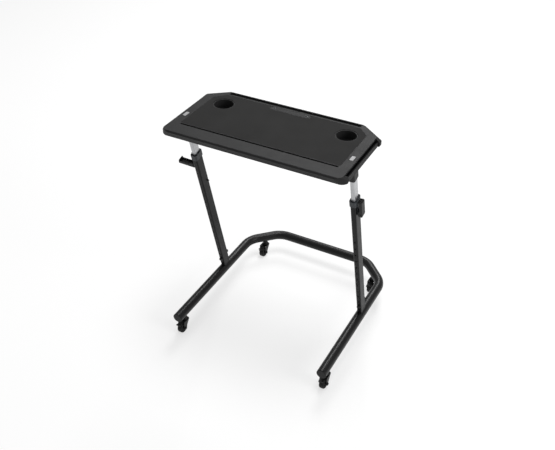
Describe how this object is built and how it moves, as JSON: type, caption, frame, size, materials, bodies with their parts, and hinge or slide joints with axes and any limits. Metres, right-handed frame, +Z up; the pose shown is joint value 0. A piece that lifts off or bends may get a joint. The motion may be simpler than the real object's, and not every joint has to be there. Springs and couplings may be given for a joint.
{
  "type": "bike trainer desk",
  "caption": "Rolling desk that stands over an indoor bike trainer: bent tube base on casters, leaning telescopic legs with clamp levers, moulded top with mat, cup wells and grooves.",
  "frame": {"origin": "centre of the bounding box at floor level, with the left clamp lever open and the right one closed", "axes": "+Z up, +X to the rider's right, -Y towards the rider"},
  "size_m": [0.8252, 0.775, 1.0194],
  "materials": {
    "black_steel": "black powder coat, satin",
    "caster_steel": "black coat, satin",
    "silver_tube": "satin silver",
    "black_plastic": "fine matt grain",
    "top_plastic": "fine moulded grain",
    "mat_rubber": "matt, fine grain",
    "well_plastic": "matt",
    "wheel_tread": "smooth matt",
    "zinc": "zinc plated",
    "badge": "plain light grey"
  },
  "bodies": {
    "base": {"rear_base_tube": "black_steel", "left_base_arm": "black_steel", "left_arm_end_cap": "black_plastic", "left_lower_leg": "black_steel", "left_foot_core": "black_steel", "left_leg_bolt": "black_plastic", "left_leg_collar": "black_plastic", "left_lever_pin": "zinc", "right_base_arm": "black_steel", "right_arm_end_cap": "black_plastic", "right_lower_leg": "black_steel", "right_foot_core": "black_steel", "right_leg_bolt": "black_plastic", "right_leg_collar": "black_plastic", "right_lever_pin": "zinc", "front_left_caster_mount": "caster_steel", "front_right_caster_mount": "caster_steel", "rear_left_caster_mount": "caster_steel", "rear_right_caster_mount": "caster_steel"},
    "top": {"desktop": "top_plastic", "desk_mat": "mat_rubber", "rear_insert": "top_plastic", "left_cup_well": "well_plastic", "left_badge_plate": "badge", "left_upper_leg": "silver_tube", "left_leg_glide": "black_plastic", "left_leg_head": "black_plastic", "left_front_head_screw": "zinc", "left_rear_head_screw": "zinc", "right_cup_well": "well_plastic", "right_badge_plate": "badge", "right_upper_leg": "silver_tube", "right_leg_glide": "black_plastic", "right_leg_head": "black_plastic", "right_front_head_screw": "zinc", "right_rear_head_screw": "zinc"},
    "left_lever": {"left_clamp_lever": "black_plastic"},
    "right_lever": {"right_clamp_lever": "black_plastic"},
    "left_button": {"left_index_button": "zinc"},
    "right_button": {"right_index_button": "zinc"},
    "front_left_fork": {"front_left_caster_fork": "caster_steel", "front_left_caster_axle": "zinc"},
    "front_left_wheel": {"front_left_caster_wheel": "wheel_tread"},
    "front_left_brake": {"front_left_caster_brake": "black_plastic"},
    "front_right_fork": {"front_right_caster_fork": "caster_steel", "front_right_caster_axle": "zinc"},
    "front_right_wheel": {"front_right_caster_wheel": "wheel_tread"},
    "front_right_brake": {"front_right_caster_brake": "black_plastic"},
    "rear_left_fork": {"rear_left_caster_fork": "caster_steel", "rear_left_caster_axle": "zinc"},
    "rear_left_wheel": {"rear_left_caster_wheel": "wheel_tread"},
    "rear_left_brake": {"rear_left_caster_brake": "black_plastic"},
    "rear_right_fork": {"rear_right_caster_fork": "caster_steel", "rear_right_caster_axle": "zinc"},
    "rear_right_wheel": {"rear_right_caster_wheel": "wheel_tread"},
    "rear_right_brake": {"rear_right_caster_brake": "black_plastic"}
  },
  "joints": [
    {"name": "desk_height", "type": "slide", "parent": "base", "child": "top", "axis": [0, -0.2436, 0.9699], "range_m": [-0.08, 0.32]},
    {"name": "left_lever_swing", "type": "hinge", "parent": "base", "child": "left_lever", "pos_m": [-0.34242, -0.13655, 0.75013], "axis": [0, -0.9699, -0.2436], "range_deg": [-88, 0]},
    {"name": "right_lever_swing", "type": "hinge", "parent": "base", "child": "right_lever", "pos_m": [0.40158, -0.13655, 0.75013], "axis": [0, 0.9699, 0.2436], "range_deg": [0, 88]},
    {"name": "left_button_press", "type": "slide", "parent": "top", "child": "left_button", "axis": [0, 0.9699, 0.2436], "range_m": [0, 0.0025], "stiffness_N_per_m": 1500, "springref_m": -0.001},
    {"name": "right_button_press", "type": "slide", "parent": "top", "child": "right_button", "axis": [0, 0.9699, 0.2436], "range_m": [0, 0.0025], "stiffness_N_per_m": 1500, "springref_m": -0.001},
    {"name": "front_left_swivel", "type": "hinge", "parent": "base", "child": "front_left_fork", "pos_m": [-0.31792, -0.335, 0.06], "axis": [0, 0, 1], "continuous": true},
    {"name": "front_left_wheel_spin", "type": "hinge", "parent": "front_left_fork", "child": "front_left_wheel", "pos_m": [-0.31792, -0.357, 0.025], "axis": [1, 0, 0], "continuous": true},
    {"name": "front_left_brake_press", "type": "hinge", "parent": "front_left_fork", "child": "front_left_brake", "pos_m": [-0.31792, -0.359, 0.055], "axis": [1, 0, 0], "range_deg": [0, 18]},
    {"name": "front_right_swivel", "type": "hinge", "parent": "base", "child": "front_right_fork", "pos_m": [0.37708, -0.335, 0.06], "axis": [0, 0, 1], "continuous": true},
    {"name": "front_right_wheel_spin", "type": "hinge", "parent": "front_right_fork", "child": "front_right_wheel", "pos_m": [0.37708, -0.357, 0.025], "axis": [1, 0, 0], "continuous": true},
    {"name": "front_right_brake_press", "type": "hinge", "parent": "front_right_fork", "child": "front_right_brake", "pos_m": [0.37708, -0.359, 0.055], "axis": [1, 0, 0], "range_deg": [0, 18]},
    {"name": "rear_left_swivel", "type": "hinge", "parent": "base", "child": "rear_left_fork", "pos_m": [-0.26042, 0.3075, 0.06], "axis": [0, 0, 1], "continuous": true},
    {"name": "rear_left_wheel_spin", "type": "hinge", "parent": "rear_left_fork", "child": "rear_left_wheel", "pos_m": [-0.26042, 0.2855, 0.025], "axis": [1, 0, 0], "continuous": true},
    {"name": "rear_left_brake_press", "type": "hinge", "parent": "rear_left_fork", "child": "rear_left_brake", "pos_m": [-0.26042, 0.2835, 0.055], "axis": [1, 0, 0], "range_deg": [0, 18]},
    {"name": "rear_right_swivel", "type": "hinge", "parent": "base", "child": "rear_right_fork", "pos_m": [0.31958, 0.3075, 0.06], "axis": [0, 0, 1], "continuous": true},
    {"name": "rear_right_wheel_spin", "type": "hinge", "parent": "rear_right_fork", "child": "rear_right_wheel", "pos_m": [0.31958, 0.2855, 0.025], "axis": [1, 0, 0], "continuous": true},
    {"name": "rear_right_brake_press", "type": "hinge", "parent": "rear_right_fork", "child": "rear_right_brake", "pos_m": [0.31958, 0.2835, 0.055], "axis": [1, 0, 0], "range_deg": [0, 18]}
  ]
}
